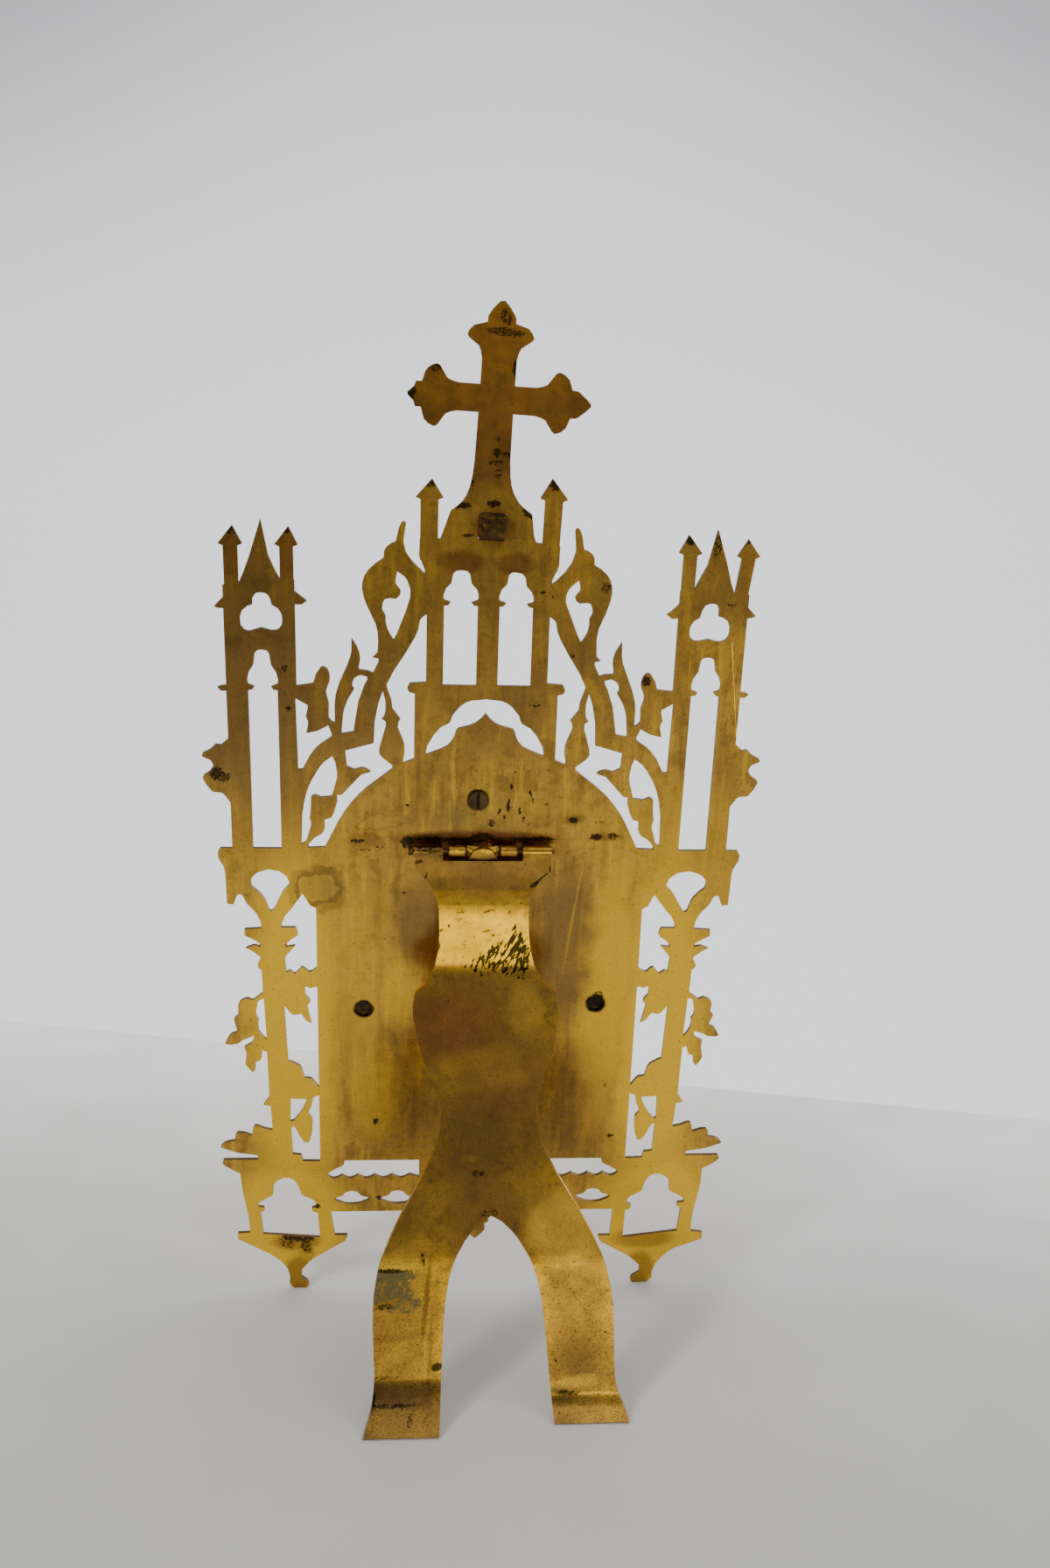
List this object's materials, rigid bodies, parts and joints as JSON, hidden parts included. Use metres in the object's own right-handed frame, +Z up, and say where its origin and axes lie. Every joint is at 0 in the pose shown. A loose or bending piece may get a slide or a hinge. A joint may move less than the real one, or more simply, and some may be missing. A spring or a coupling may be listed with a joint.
{
  "type": "table altarpiece with hinged strut",
  "caption": "Gothic altarpiece sawn from brass sheet, with spired towers, a gable under a cross and an arched frame on the front, standing on a hinged strut.",
  "frame": {"origin": "middle of the footprint, on the table", "axes": "+Z up, the front of the altarpiece faces -Y and the strut stands behind it towards +Y, +X to the left as seen from behind"},
  "size_m": [0.165, 0.0874, 0.3142],
  "materials": {
    "plate_brass": "aged and rubbed, golden low down and browner above",
    "strut_brass": "rubbed bright on the bends, reddish brown between them",
    "frame_brass": "polished moulding with dark hollows",
    "boss_brass": "dark old brass",
    "pin_brass": "dark and grimy",
    "screw_brass": "dull, with a dark slot",
    "screw_iron": "blackened iron"
  },
  "bodies": {
    "altarpiece": {"back_plate": "plate_brass", "hinge_lug": "plate_brass", "hinge_pin": "pin_brass", "top_screw": "screw_brass", "left_screw": "screw_iron", "right_screw": "screw_iron", "front_frame": "frame_brass", "cross_boss": "boss_brass"},
    "strut": {"strut": "strut_brass"}
  },
  "joints": [
    {"name": "strut_hinge", "type": "hinge", "parent": "altarpiece", "child": "strut", "pos_m": [0, -0.00748, 0.15924], "axis": [-1, 0, 0], "range_deg": [0, 18]}
  ]
}
